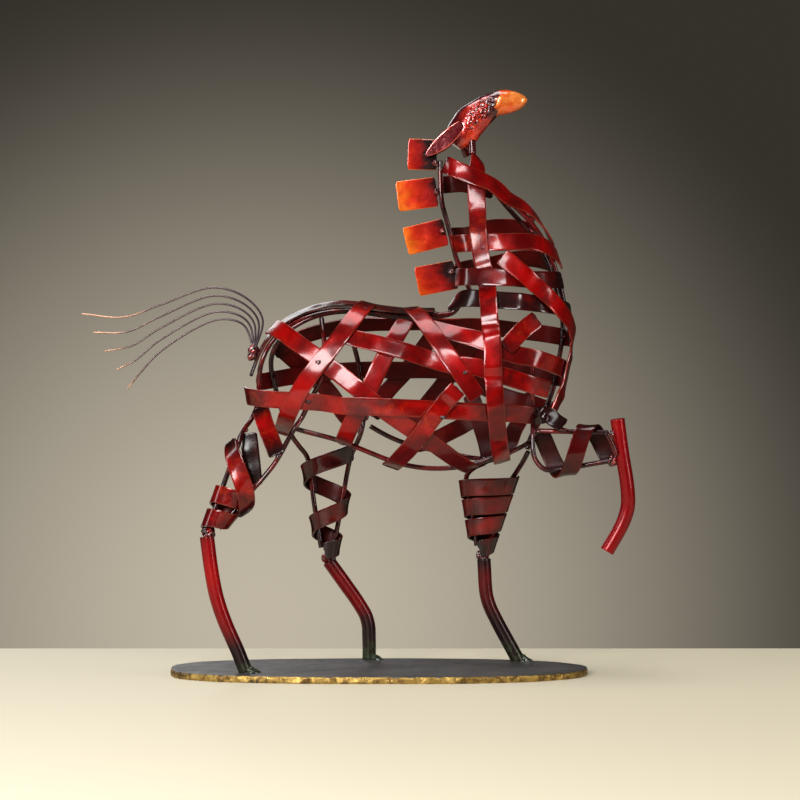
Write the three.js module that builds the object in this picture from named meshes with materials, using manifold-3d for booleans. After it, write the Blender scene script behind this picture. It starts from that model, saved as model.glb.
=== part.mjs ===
// A horse sculpture welded from flat strips, round rods and cut plates on an oval base plate.
// Millimetres, +Z up. The horse faces +X; its right side, the outer face of the show side, looks
// towards -Y. The origin is at the middle of the underside of the base plate.
//
// The strips lie on an imagined body, the "form": a trunk built from stations along X joined to a
// forehand (chest, neck and throat) built from stations along Z. Every strip is given by the few
// places where it bends; it is laid on the form and lifted over the strips that it crosses.
import * as THREE from 'three';
import { mergeVertices } from 'three/addons/utils/BufferGeometryUtils.js';
import Module from 'manifold-3d';

const wasm = await Module();
wasm.setup();

// ---------------------------------------------------------------- driving dimensions
const BASE = { length: 250, depth: 117, thickness: 4, squareness: 2.5 };
const STRIP = { width: 10.3, thickness: 1.2 };   // flat bar, 10 mm class
const ROD_RADIUS = 1.5;                          // 3 mm round rod
const WIRE_RADIUS = 0.75;                        // tail wire
const TUBE_RADIUS = 4.2;                         // lower legs
const CLEARANCE = 0.5;                            // between pieces that a weld joins
const LAYER_GAP = 0.72;                          // between a strip and one that it crosses
const MID_Y = 5;                                 // the horse's middle plane over the base
const STATION = 6;                               // step along a strip
const RIGHT = -1, LEFT = 1;

// trunk stations: x, lowest z, highest z, half width
const TRUNK = [
  [-76, 167, 172, 6], [-73, 157, 181, 16], [-64, 146, 200, 26], [-48, 140, 213, 33],
  [-22, 133, 220, 38], [13, 120, 216, 41], [37, 117, 216, 41], [62, 121, 219, 40],
  [88, 135, 217, 34], [104, 160, 207, 18],
];
// forehand stations: z, rearmost x, foremost x, half width
const FOREHAND = [
  [129, 66, 84, 12], [137, 56, 94, 25], [151, 50, 101, 32], [172, 46, 108.5, 36],
  [203, 44, 114.5, 36], [223, 45, 112.5, 31], [243, 45.5, 107.5, 26], [259, 43, 101, 22],
  [277, 39, 88, 17], [295, 37, 66, 12], [307, 37, 58, 9],
];
const FULLNESS = 2.3;                            // 2 is an ellipse, more is squarer
const BLEND = 8;                                 // how softly neck and trunk meet

const COLOURS = {
  lacquer: 0xb01612, wine: 0x6d1a16, soot: 0x2b1a18, rod: 0x3a1512, tube: 0xa51a1e,
  mane: 0xc24a12, head: 0xb32a14, wire: 0x9a6248, base: 0x45454a,
};

// ---------------------------------------------------------------- the form
const clamp = (value, low, high) => Math.min(high, Math.max(low, value));

// Smooth values between the stations of a table whose first column rises.
function between(table, at) {
  const last = table.length - 1;
  const t = clamp(at, table[0][0], table[last][0]);
  let i = 0;
  while (i < last - 1 && t > table[i + 1][0]) i++;
  const [a, b] = [table[i], table[i + 1]];
  const step = b[0] - a[0];
  const s = (t - a[0]) / step;
  const slope = (j, k) => {
    const [p, q] = [table[Math.max(0, j - 1)], table[Math.min(last, j + 1)]];
    return (q[k] - p[k]) / (q[0] - p[0]);
  };
  return [1, 2, 3].map((k) =>
    (2 * s ** 3 - 3 * s ** 2 + 1) * a[k] + (s ** 3 - 2 * s ** 2 + s) * step * slope(i, k)
    + (3 * s ** 2 - 2 * s ** 3) * b[k] + (s ** 3 - s ** 2) * step * slope(i + 1, k));
}

// Signed distance, roughly, from a body with stations along one axis.
function fromStations(table, along, across, y) {
  const [low, high, halfWidth] = between(table, along);
  const half = Math.max(2, (high - low) / 2);
  const width = Math.max(2, halfWidth);
  const reach = (Math.abs((across - (low + high) / 2) / half) ** FULLNESS
    + Math.abs((y - MID_Y) / width) ** FULLNESS) ** (1 / FULLNESS);
  const inside = (reach - 1) * Math.min(half, width);
  const past = Math.max(table[0][0] - along, along - table[table.length - 1][0], 0);
  return past > 0 ? Math.hypot(Math.max(inside, 0), past) : inside;
}

function form(p) {
  const a = fromStations(TRUNK, p.x, p.z, p.y);
  const b = fromStations(FOREHAND, p.z, p.x, p.y);
  const mix = clamp(0.5 + (b - a) / (2 * BLEND), 0, 1);
  return b * (1 - mix) + a * mix - BLEND * mix * (1 - mix);
}

function outward(p) {
  const d = 0.6;
  const slope = (axis) => {
    const q = p.clone();
    q[axis] += d;
    const ahead = form(q);
    q[axis] -= 2 * d;
    return (ahead - form(q)) / (2 * d);
  };
  return new THREE.Vector3(slope('x'), slope('y'), slope('z'));
}

// Moves a point to the skin of the form, or to a depth below it.
function onSkin(point, depth = 0) {
  const p = point.clone();
  for (let i = 0; i < 12; i++) {
    const g = outward(p);
    const move = clamp(-(form(p) + depth) / Math.max(g.lengthSq(), 0.05), -4, 4);
    p.addScaledVector(g, move);
  }
  return p;
}

// A place on one side of the form, given as [x, z] seen from the side, or as [x, y, z].
function place(side, at) {
  if (at.length === 3) return new THREE.Vector3(...at);
  const [x, z] = at;
  const p = new THREE.Vector3(x, MID_Y, z);
  let best = p.clone(), nearest = Infinity;
  for (let reach = 60; reach >= 0; reach -= 0.5) {
    p.y = MID_Y + side * reach;
    const away = form(p);
    if (away < 0) return p.clone();
    if (away < nearest) {
      nearest = away;
      best = p.clone();
    }
  }
  return best;
}

// ---------------------------------------------------------------- closed lofts
// Joins rings of points into one closed body and turns its faces outwards.
function loft(rings) {
  const sides = rings[0].length;
  const points = rings.flat();
  const faces = [];
  for (let r = 0; r + 1 < rings.length; r++) {
    for (let k = 0; k < sides; k++) {
      const a = r * sides + k, b = r * sides + (k + 1) % sides;
      faces.push([a, b, b + sides], [a, b + sides, a + sides]);
    }
  }
  const end = points.length - sides;
  for (let k = 1; k + 1 < sides; k++) {
    faces.push([0, k + 1, k], [end, end + k, end + k + 1]);
  }
  const volume = faces.reduce((sum, [a, b, c]) =>
    sum + points[a].dot(new THREE.Vector3().crossVectors(points[b], points[c])), 0);
  const index = faces.flatMap(([a, b, c]) => (volume > 0 ? [a, b, c] : [a, c, b]));
  const geometry = new THREE.BufferGeometry().setFromPoints(points);
  geometry.setIndex(index);
  geometry.computeVertexNormals();
  return geometry;
}

// Evenly spaced points of a smooth curve through a few places.
function smooth(places, step) {
  const curve = new THREE.CatmullRomCurve3(places, false, 'centripetal');
  const count = Math.max(2, Math.round(curve.getLength() / step));
  return curve.getSpacedPoints(count);
}

function directions(points) {
  return points.map((_, i) => new THREE.Vector3()
    .subVectors(points[Math.min(i + 1, points.length - 1)], points[Math.max(i - 1, 0)])
    .normalize());
}

// A round bar along a curve, with a section of a few sides. Its last end may be cut level.
function bar(points, radius, sides, levelEnd = false) {
  const heading = directions(points);
  if (levelEnd) heading[heading.length - 1] = new THREE.Vector3(0, 0, -1);
  let side = new THREE.Vector3(0, 1, 0);
  if (Math.abs(heading[0].y) > 0.9) side = new THREE.Vector3(1, 0, 0);
  const rings = points.map((p, i) => {
    side = side.clone().addScaledVector(heading[i], -side.dot(heading[i])).normalize();
    const up = new THREE.Vector3().crossVectors(heading[i], side);
    const size = Array.isArray(radius) ? radius[i] : radius;
    return Array.from({ length: sides }, (_, k) => {
      const angle = (2 * Math.PI * k) / sides;
      return p.clone().addScaledVector(side, size * Math.cos(angle))
        .addScaledVector(up, size * Math.sin(angle));
    });
  });
  return loft(rings);
}

// A flat bar: centre points on its inner face, the way that the face looks, and its size.
function flatBar(centres, facings, width = STRIP.width, thickness = STRIP.thickness) {
  const heading = directions(centres);
  const rings = centres.map((p, i) => {
    const across = new THREE.Vector3().crossVectors(facings[i], heading[i]).normalize();
    const face = new THREE.Vector3().crossVectors(heading[i], across);
    const corner = (side, height) => p.clone()
      .addScaledVector(across, (side * width) / 2).addScaledVector(face, height * thickness);
    return [corner(-1, 0), corner(1, 0), corner(1, 1), corner(-1, 1)];
  });
  return loft(rings);
}

// ---------------------------------------------------------------- weaving
// Strips already laid, as lists of stations with their height over the form.
const laid = [];

// How high a strip has to be at each station to pass over those already laid.
function liftOver(stations, width) {
  const shares = [-1, -0.5, 0, 0.5, 1];
  const need = stations.map(({ skin, across }) => {
    let height = 0;
    for (const strip of laid) {
      for (const s of strip.stations) {
        if (s.skin.distanceTo(skin) > width + strip.width) continue;
        for (const share of shares) {
          const probe = skin.clone().addScaledVector(across, (share * width) / 2).sub(s.skin);
          const covered = Math.abs(probe.dot(s.across)) < strip.width / 2 + 1.4
            && Math.abs(probe.dot(s.heading)) < STATION * 0.9
            && Math.abs(probe.dot(s.facing)) < 6;
          if (covered) height = Math.max(height, s.height + STRIP.thickness + LAYER_GAP);
        }
      }
    }
    return height;
  });
  // A flat stretch over the crossing, then a short slope on both sides of it.
  const flat = STATION * 1.2, slope = 9;
  return need.map((_, i) => Math.max(...need.map((height, j) => {
    const away = Math.max(0, Math.abs(i - j) * STATION - flat);
    return height * (away >= slope ? 0 : 0.5 + 0.5 * Math.cos((Math.PI * away) / slope));
  })));
}

// A strip over the skin along path. Where it runs on past the form, beyond lists its free
// places, and it turns on the way there to face half upwards.
function layStrip({ side, path, width = STRIP.width, beyond = [] }) {
  const skins = smooth(path.map((at) => place(side, at)), STATION).map((p) => onSkin(p));
  const heading = directions(skins);
  const stations = skins.map((skin, i) => {
    const facing = outward(skin).normalize();
    facing.addScaledVector(heading[i], -facing.dot(heading[i])).normalize();
    const across = new THREE.Vector3().crossVectors(facing, heading[i]);
    return { skin, facing, across, heading: heading[i], height: 0 };
  });
  liftOver(stations, width).forEach((height, i) => {
    stations[i].height = height;
  });
  laid.push({ stations, width });
  const centres = stations.map((s) => s.skin.clone().addScaledVector(s.facing, s.height));
  const facings = stations.map((s) => s.facing);
  if (beyond.length) {
    const free = smooth([centres.at(-1), ...beyond.map((p) => at(...p))], STATION).slice(1);
    const last = facings.at(-1);
    free.forEach((point, i) => {
      centres.push(point);
      facings.push(last.clone().lerp(at(0, -0.7, 0.7), Math.min(1, (i + 1) / 2)).normalize());
    });
  }
  return flatBar(centres, facings, width);
}

// ---------------------------------------------------------------- legs
// A leg above the hock or knee is a tapering winding round two rods. Its axis runs from top to
// foot; "fore" is half the size towards the horse's front, "deep" half the size along Y.
const LEGS = {
  rightHind: { top: [-70, -29, 131], foot: [-96, -32, 86], fore: [15, 5.5], deep: [8, 6] },
  leftHind: { top: [-30, 44, 128], foot: [-31, 46, 68], fore: [16.5, 6], deep: [8, 6] },
  leftFore: { top: [66.5, 33, 116], foot: [62.5, 36, 70], fore: [17.5, 6], deep: [9, 6.5] },
  rightFore: { top: [97, -23, 132], foot: [138, -24, 135], fore: [15, 11], deep: [8, 6.5] },
};
const AHEAD = 0, BEHIND = Math.PI;

function onLeg(leg, t, angle, inset = 0) {
  const top = new THREE.Vector3(...leg.top);
  const axis = new THREE.Vector3(...leg.foot).sub(top);
  const length = axis.length();
  const depthwise = new THREE.Vector3(0, 1, 0);
  const forward = new THREE.Vector3().crossVectors(depthwise, axis.clone().normalize()).negate();
  const fore = leg.fore[0] + (leg.fore[1] - leg.fore[0]) * t - inset;
  const deep = leg.deep[0] + (leg.deep[1] - leg.deep[0]) * t - inset;
  const point = top.addScaledVector(axis, t)
    .addScaledVector(forward, fore * Math.cos(angle))
    .addScaledVector(depthwise, deep * Math.sin(angle));
  const radial = forward.clone().multiplyScalar(Math.cos(angle) / fore)
    .addScaledVector(depthwise, Math.sin(angle) / deep).normalize();
  const taper = Math.abs(Math.cos(angle)) * (leg.fore[0] - leg.fore[1]) / length
    + Math.abs(Math.sin(angle)) * (leg.deep[0] - leg.deep[1]) / length;
  return { point, facing: radial.addScaledVector(axis, taper / length).normalize() };
}

// A strip wound round a leg, from one height and angle to another. Its turns lie evenly when
// closing is 1, and draw closer towards the end when it is more.
function wind(leg, { from, to, width = STRIP.width, rise = 0, closing = 1 }) {
  const steps = Math.max(4, Math.ceil(Math.abs(to.angle - from.angle) / (Math.PI / 7)));
  const spots = Array.from({ length: steps + 1 }, (_, i) => {
    const s = i / steps;
    const down = 1 - (1 - s) ** closing;
    return onLeg(leg, from.t + (to.t - from.t) * down, from.angle + (to.angle - from.angle) * s, -rise);
  });
  return flatBar(spots.map((s) => s.point), spots.map((s) => s.facing), width);
}

// ---------------------------------------------------------------- rods
const ROD_DEPTH = ROD_RADIUS + CLEARANCE;

// A rod under the skin of the form that may run on into a leg. Places are [x, z] on a side,
// [x, y, z] on the form, or points already made, which are left where they are.
function rod(side, path, radius = ROD_RADIUS) {
  const fixed = path.map((at) => at.isVector3 === true);
  const places = path.map((at) => (at.isVector3 ? at : onSkin(place(side, at), ROD_DEPTH)));
  const curve = new THREE.CatmullRomCurve3(places, false, 'centripetal');
  const count = Math.max(2, Math.round(curve.getLength() / 8));
  const points = Array.from({ length: count + 1 }, (_, i) => {
    const u = curve.getUtoTmapping(i / count) * (places.length - 1);
    const free = fixed[Math.floor(u)] || fixed[Math.min(Math.ceil(u), places.length - 1)];
    const p = curve.getPoint(u / (places.length - 1));
    return free ? p : onSkin(p, ROD_DEPTH);
  });
  return bar(points, radius, 6);
}

const inLeg = (leg, t, angle, more = 1) => onLeg(leg, t, angle, ROD_DEPTH + more).point;
const at = (x, y, z) => new THREE.Vector3(x, y, z);

// ---------------------------------------------------------------- the group
const horse = new THREE.Group();

function add(name, geometry, colour, metalness = 0.55, roughness = 0.3) {
  const material = new THREE.MeshStandardMaterial({ color: COLOURS[colour], metalness, roughness });
  const mesh = new THREE.Mesh(geometry, material);
  mesh.name = name;
  horse.add(mesh);
  return mesh;
}

// Base plate: a long oval cut by hand with a torch, so its edge wanders a little.
function basePlate() {
  const corners = 72;
  const outline = Array.from({ length: corners }, (_, i) => {
    const a = (2 * Math.PI * i) / corners;
    const [c, s] = [Math.cos(a), Math.sin(a)];
    const wander = 1 - 0.012 + 0.008 * Math.sin(5 * a + 1) + 0.004 * Math.sin(13 * a);
    const power = 2 / BASE.squareness;
    return new THREE.Vector2(
      (BASE.length / 2) * wander * Math.sign(c) * Math.abs(c) ** power,
      (BASE.depth / 2) * wander * Math.sign(s) * Math.abs(s) ** power);
  });
  return new THREE.ExtrudeGeometry(new THREE.Shape(outline),
    { depth: BASE.thickness, bevelEnabled: false });
}
add('base-plate', basePlate(), 'base', 0.5, 0.55);

// Lower legs: bent tubes that stand on the plate; the raised one hangs free from the knee.
const FOOT_Z = BASE.thickness + 0.3;
const SHINS = {
  'hind-shin-right': [[-98.5, -33, 83], [-96, -33, 64], [-93, -32, 48], [-88, -32, 33],
    [-81, -31, 17], [-76, -31, FOOT_Z]],
  'hind-shin-left': [[-30, 46, 64], [-20, 47, 50], [-11, 47, 37], [-6.5, 47, 28],
    [-5.5, 47, 15], [-5.5, 47, FOOT_Z]],
  'fore-shin-left': [[64, 36, 66], [66, 36, 42], [71, 36, 30], [78, 36, 17], [85, 36, FOOT_Z]],
  'fore-shin-right': [[139.5, -29, 151], [142, -28, 133], [145.5, -28, 110], [145.5, -27, 99],
    [142, -27, 89], [133.5, -27, 74]],
};
for (const [name, path] of Object.entries(SHINS)) {
  const stands = path[path.length - 1][2] === FOOT_Z;
  add(name, bar(smooth(path.map((p) => at(...p)), 7), TUBE_RADIUS, 12, stands), 'tube');
}

// Rods of the frame.
const { rightHind, leftHind, leftFore, rightFore } = LEGS;
const RODS = {
  'spine-rod-right': [RIGHT, [[53, -8, 219], [13, -11, 215], [-19, -12, 218], [-45, -10, 212],
    [-63, -11, 197], [-69, -12, 184], at(-69.5, -8, 168), at(-70.3, -8, 160),
    at(-73, -10, 152.5), at(-79, -21, 143), inLeg(rightHind, 0, BEHIND),
    inLeg(rightHind, 0.5, BEHIND), inLeg(rightHind, 0.93, BEHIND)]],
  'spine-rod-left': [LEFT, [[53, 18, 219], [13, 21, 215], [-19, 22, 218], [-45, 22, 212],
    [-62, 24, 193], [-62, 33, 165], at(-51, 39, 138),
    inLeg(leftHind, 0, BEHIND), inLeg(leftHind, 0.5, BEHIND), inLeg(leftHind, 0.93, BEHIND)]],
  'flank-rod-right': [RIGHT, [[-33, 211], [-31, 194], [-33, 174], [-40, 160], [-43, 153],
    at(-49, -25, 144), inLeg(rightHind, 0, AHEAD), inLeg(rightHind, 0.5, AHEAD),
    inLeg(rightHind, 0.93, AHEAD)]],
  'flank-rod-left': [LEFT, [[-20, 211], [-16, 200], [-12, 184], [-10, 168], [-9, 152],
    at(-11, 37, 140), inLeg(leftHind, 0, AHEAD), inLeg(leftHind, 0.5, AHEAD),
    inLeg(leftHind, 0.93, AHEAD)]],
  'belly-rod-right': [RIGHT, [[-51, -12, 141], [-28, -12, 136], [-10, -12, 129],
    [13, -12, 120], [37, -12, 117], [60, -12, 121], [72, -12, 127],
    [83, -13, 133], at(88.2, -18.2, 137)]],
  'belly-rod-left': [LEFT, [[-5.3, 145.3], [2, 141], [13, 136], [31, 131], [49, 127], [62, 125]]],
  'neck-rod-back': [RIGHT, [at(37.2, 5, 304), at(37.3, 5, 290), at(38, 5, 280), at(40.5, 5, 270),
    at(43.5, 5, 259), at(46, 5, 248), at(49.5, 5, 239), at(53.5, 5, 230), at(56, 5, 223)]],
  'neck-rod-front-right': [RIGHT, [[66, -2, 293], [77, -6, 280], [90, -6, 269], [99, -6, 257],
    [106, -6, 244], [111, -6, 228], [113, -6, 208]]],
  'neck-rod-front-left': [LEFT, [[66, 12, 293], [76, 17, 279], [85, 19, 270], [94, 19, 261],
    [100, 19, 250], [106, 19, 238], [110, 19, 222], [112, 19, 208], [110, 19, 190],
    [104, 19, 170], [98, 19, 155], [90.5, 20, 141], at(89.5, 20, 132.4)]],
  'chest-rod-right': [RIGHT, [[89, 189], [91, 178], [91, 165], at(91, -20, 150), at(91, -21, 132),
    at(93.5, -22, 125), at(98, -23, 121.5), inLeg(rightFore, 0.2, BEHIND),
    inLeg(rightFore, 0.6, BEHIND), inLeg(rightFore, 0.97, BEHIND)]],
  'forearm-rod-right': [RIGHT, [at(94.5, -21, 144), inLeg(rightFore, 0.1, AHEAD),
    inLeg(rightFore, 0.5, AHEAD), inLeg(rightFore, 0.97, AHEAD)]],
  'elbow-rod-back': [LEFT, [at(64, 26, 124), inLeg(leftFore, 0, 2.7, 1.4),
    inLeg(leftFore, 0.5, 2.7, 1.4), inLeg(leftFore, 0.92, 2.7, 1.4)]],
  'elbow-rod-front': [LEFT, [at(90, 20, 131), at(85, 27, 121), inLeg(leftFore, 0, AHEAD),
    inLeg(leftFore, 0.5, AHEAD), inLeg(leftFore, 0.92, AHEAD)]],
  'knee-rod': [RIGHT, [at(132.6, -33, 143), at(135.8, -33.2, 137), at(138.5, -32.7, 130)]],
};
for (const [name, [side, path]] of Object.entries(RODS)) add(name, rod(side, path), 'rod', 0.8, 0.25);

// Strips of the body, from the lowest layer to the highest.
const STRIPS = [
  // left side, seen through the body
  ['flank-strip-left', LEFT, 'wine', [[-72, 172], [-47, 177], [-14, 180], [13, 180], [44, 179],
    [60, 172], [77, 164], [92, 160], [98, 22, 158], [103, 9, 157]]],
  ['back-strip-left', LEFT, 'wine', [[-62, 190], [-47, 199], [-20, 206], [13, 207], [37, 207],
    [66, 206], [84, 204], [100, 202], [108, 22, 200], [113, 8, 199]]],
  ['rib-strip-left-1', LEFT, 'wine', [[-57, 192], [-29, 167], [-20, 153], [-13, 146]]],
  ['rib-strip-left-2', LEFT, 'wine', [[34, 201], [21, 184], [3, 164], [-4, 152]]],
  ['rib-strip-left-3', LEFT, 'wine', [[56, 196], [42, 175], [30, 160], [16, 142]]],
  ['shoulder-strip-left', LEFT, 'wine', [[36, 197], [50, 194], [64, 190], [82, 183],
    [98, 178], [105, 22, 176], [110, 8, 175]]],
  ['elbow-strip-left-1', LEFT, 'wine', [[56, 166], [62, 148], [66, 133], [66, 125]]],
  ['elbow-strip-left-2', LEFT, 'wine', [[92, 166], [83, 147], [74, 131]]],
  ['belly-strip-left', LEFT, 'wine', [[62, 154], [50, 147], [36, 139], [22, 136]]],
  // right side
  ['back-strip-right', RIGHT, 'lacquer', [[-72, -4, 175], [-68, -4, 186], [-58, -6, 199],
    [-48, -7, 208], [-36, -8, 215], [-19, -9, 218], [11, -9, 215], [34, -9, 216]]],
  ['rib-strip-right-4', RIGHT, 'lacquer', [[17, 208], [12, 200], [2, 182], [-4, 169], [-14, 150],
    [-20, 137]]],
  ['rib-strip-right-2', RIGHT, 'lacquer', [[-61, 203], [-45, 194], [-27, 181], [-10, 168],
    [10, 152], [31, 138], [48, 126], [56, -12, 121]]],
  ['flank-strip-right-upper', RIGHT, 'lacquer', [[-19, 199], [2, 193], [25, 187], [39, 183],
    [57, 181], [73, 176], [89, 171], [100, 168]]],
  ['shoulder-strip-right', RIGHT, 'lacquer', [[30, 205], [42, 201], [61, 196], [77, 189], [92, 186],
    [108, -8, 180]]],
  ['flank-strip-right', RIGHT, 'lacquer', [[-74, -2, 166], [-66, 163], [-51, 162], [-22, 160],
    [13, 158], [42, 156], [64, 155], [83, 154], [93, 153]],
  [[98, -22.5, 153.5], [103, -26.5, 150], [108.5, -28.5, 146.5]]],
  ['shoulder-strip-short', RIGHT, 'lacquer', [[93, 209], [84, 202], [74, 191]]],
  ['rib-strip-right-3', RIGHT, 'lacquer', [[19, 214], [27, 206], [36, 194], [45, 182], [52, 172],
    [58, 163]]],
  ['rib-strip-right-1', RIGHT, 'lacquer', [[-5, -9, 217], [-15, 206], [-24, 194], [-33, 183],
    [-42, 171], [-49, 159], [-58, 140]]],
  ['rib-strip-right-5', RIGHT, 'lacquer', [[47, 169], [36, 157], [25, 143], [13, 128],
    [7, -8, 122]]],
  ['throat-strip-right', RIGHT, 'lacquer', [[45, 254], [55, 254], [72, 254], [92, 254],
    [103, 249], [108, 5, 243]]],
  ['withers-strip-right', RIGHT, 'lacquer', [[43, -6, 218], [50, 221], [60, 221], [77, 219],
    [92, 217], [114, -4, 213]]],
  ['breast-strip-right', RIGHT, 'lacquer', [[58, 306], [58, 285], [59, 270], [60, 256], [62, 243],
    [65, 226], [66, 208], [67, 194], [67, 179], [68, 162], [69, 150], [71, 136], [73, -8, 127]]],
  ['cheek-strip-right', RIGHT, 'lacquer', [[40, -3, 301], [49, 296], [59, 291], [67, 287],
    [75, -9, 281], [85, -4, 275], [95, 2, 264], [102, 8, 254]]],
  ['neck-strip-right-1', RIGHT, 'soot', [[47, 234], [58, 233], [78, 232], [98, 232],
    [108, -8, 232]]],
  ['neck-strip-right-2', RIGHT, 'lacquer', [[72.5, 244.5], [79, 238.5], [87, 231], [95, 223],
    [104, 213], [111, 205], [114, -5, 197], [111, -8, 186], [108, -10, 175], [104, -11, 165],
    [100, -12, 155]]],
  // left side of the neck
  ['neck-strip-left-1', LEFT, 'wine', [[39, 290], [52, 291], [69, 286]]],
  ['neck-strip-left-2', LEFT, 'wine', [[45, 260], [56, 261], [67, 265], [94, 263]]],
  ['neck-strip-left-3', LEFT, 'wine', [[47, 238], [67, 243], [89, 247], [104, 243]]],
];
for (const [name, side, colour, path, beyond] of STRIPS) {
  add(name, layStrip({ side, path, beyond }), colour);
}

// Strips on and round the legs.
const TURN = 2 * Math.PI;
const LAYER = STRIP.thickness + CLEARANCE;
const WINDINGS = {
  'gaskin-strip-right': [rightHind, 'lacquer',
    { from: { t: 0.02, angle: -0.44 * TURN }, to: { t: 0.66, angle: -0.03 * TURN }, rise: LAYER + 1 }],
  'hock-strip-right': [rightHind, 'lacquer',
    { from: { t: 0.5, angle: -0.02 * TURN }, to: { t: 0.94, angle: -1.62 * TURN } }],
  'gaskin-strip-left': [leftHind, 'wine',
    { from: { t: -0.05, angle: -0.09 * TURN }, to: { t: 0.96, angle: -2.3 * TURN }, closing: 1.4 }],
  'forearm-strip-left': [leftFore, 'wine',
    { from: { t: 0.06, angle: 0.05 * TURN }, to: { t: 0.96, angle: -3.3 * TURN }, closing: 0.9 }],
  'forearm-strip-right': [rightFore, 'soot',
    { from: { t: -0.02, angle: 0.12 * TURN }, to: { t: 0.95, angle: 1.38 * TURN } }],
};
for (const [name, [leg, colour, run]] of Object.entries(WINDINGS)) add(name, wind(leg, run), colour);

// Two straight strips inside and outside the right thigh.
function straightStrip(places, facing) {
  const centres = smooth(places.map((p) => at(...p)), STATION);
  return flatBar(centres, centres.map(() => at(...facing)));
}
add('thigh-strip-right', straightStrip(
  [[-68.6, -13, 157.5], [-65.5, -19, 148.5], [-61.5, -25.5, 139], [-57.5, -31, 130]],
  [0, -1, -0.3]), 'lacquer');
add('thigh-strip-right-inner', straightStrip(
  [[-75.5, -17.5, 143], [-74, -18.5, 131], [-72, -20.5, 112]], [0, 1, 0]), 'soot');

// Mane: four plates that stand out behind the neck, each with its place, size and tilt.
const PLATE_THICKNESS = 1.2;
const MANE = [
  { x: 26.6, z: 307.5, wide: 17.5, high: 18.3, tilt: -2 },
  { x: 23.4, z: 284, wide: 24, high: 17.8, tilt: 7 },
  { x: 28.5, z: 258.8, wide: 25, high: 16.5, tilt: 14 },
  { x: 34.9, z: 234.3, wide: 24, high: 17.5, tilt: 11 },
];
MANE.forEach(({ x, z, wide, high, tilt }, i) => {
  const corner = 2;
  const shape = new THREE.Shape();
  const [w, h] = [wide / 2, high / 2];
  shape.moveTo(-w + corner, -h);
  shape.lineTo(w, -h);
  shape.lineTo(w, h);
  shape.lineTo(-w + corner, h);
  shape.quadraticCurveTo(-w, h, -w, h - corner);
  shape.lineTo(-w, -h + corner);
  shape.quadraticCurveTo(-w, -h, -w + corner, -h);
  const plate = add(`mane-plate-${i + 1}`, new THREE.ExtrudeGeometry(shape,
    { depth: PLATE_THICKNESS, bevelEnabled: false, curveSegments: 3 }), 'mane');
  plate.rotation.set(Math.PI / 2, 0, 0);
  plate.position.set(x, MID_Y + PLATE_THICKNESS / 2, z);
  plate.rotateZ(THREE.MathUtils.degToRad(tilt));
});

// Joins closed geometries that touch into one solid.
function fuse(geometries) {
  const solids = geometries.map((geometry) => {
    const bare = geometry.index ? geometry.toNonIndexed() : geometry.clone();
    for (const extra of ['normal', 'uv']) bare.deleteAttribute(extra);
    const merged = mergeVertices(bare, 1e-4);
    return new wasm.Manifold(new wasm.Mesh({
      numProp: 3,
      vertProperties: merged.attributes.position.array,
      triVerts: new Uint32Array(merged.index.array),
    }));
  });
  const joined = solids.reduce((whole, solid) => whole.add(solid)).getMesh();
  const geometry = new THREE.BufferGeometry();
  geometry.setAttribute('position', new THREE.BufferAttribute(joined.vertProperties, 3));
  geometry.setIndex(new THREE.BufferAttribute(joined.triVerts, 1));
  geometry.computeVertexNormals();
  return geometry;
}

const TAIL_Y = 3.6;

// Tail: five wires that leave one weld, arch up together and fan out as they fall.
function tail() {
  const wires = [0, 1, 2, 3, 4].map((k) => {
    const y = TAIL_Y + (k - 2) * 1.6;
    const path = [
      [-73, TAIL_Y + (k - 2) * 0.6, 190],
      [-68 - 2.6 * k, y, 210 - 1.2 * k],
      [-78 - 1.5 * k, y, 222.5 - 3.4 * k],
      [-97, y * 1.1, 228.5 - 4.8 * k],
      [-129, y * 1.2, 218 - 6.8 * k],
      [-150 + 2 * k, y * 1.3, 211 - 8.5 * k],
      [-175 + 6.6 * k, y * 1.4, 213 - 11 * k],
    ];
    return bar(smooth(path.map((p) => at(...p)), 8), WIRE_RADIUS, 5);
  });
  const knob = new THREE.SphereGeometry(3.6, 10, 7).scale(0.95, 1, 1.5).translate(-74, TAIL_Y, 190);
  return fuse([...wires, knob]);
}
add('tail', tail(), 'wire');

// Head: one forged piece, flattened to the muzzle, with two leaf ears and two stubs to the neck.
function head() {
  const sections = [   // x, z, half height, half width
    [45.5, 313, 6, 4.5], [49.5, 319, 9.6, 6], [55.4, 327.2, 9.8, 6.6], [63, 333.8, 8, 6],
    [70.8, 337.4, 7, 5.4], [78, 339.3, 6.4, 5], [84, 340, 4.6, 4], [88.3, 340, 1.6, 1.8],
  ];
  const centres = sections.map(([x, z]) => at(x, MID_Y, z));
  const heading = directions(centres);
  const rings = sections.map(([, , high, wide], i) => Array.from({ length: 12 }, (_, k) => {
    const angle = (TURN * k) / 12;
    const up = at(-heading[i].z, 0, heading[i].x);
    return centres[i].clone().addScaledVector(up, high * Math.sin(angle))
      .add(at(0, wide * Math.cos(angle), 0));
  }));
  const ears = [-1, 1].map((side) => flatBar(
    [at(50, MID_Y + side * 4.4, 320), at(38, MID_Y + side * 5, 312.5),
      at(28.5, MID_Y + side * 5, 306.5)],
    [0, 1, 2].map(() => at(0, side, 0)), 8, 1.4));
  const stubs = [
    bar([at(55, MID_Y, 322), at(56, 1.5, 307.4)], 2.6, 8),
    bar([at(48.5, MID_Y, 317), at(53, 7.5, 306.6)], 2, 8),
  ];
  return fuse([loft(rings), ...ears, ...stubs]);
}
add('head', head(), 'head');

export default horse;
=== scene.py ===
# %% [markdown]
# # A horse welded from scrap metal
# The sculpture is a prancing horse made by hand from a few kinds of stock: flat bar bent round an
# open body, thin round rod that carries it, thick rod for the lower legs, small plates for the
# mane and wires for the tail. It is brushed with a clear red candy lacquer and stands on a plate
# cut with a torch. This lesson dresses the plain solids of the frame, one kind of stock at a time.

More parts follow.
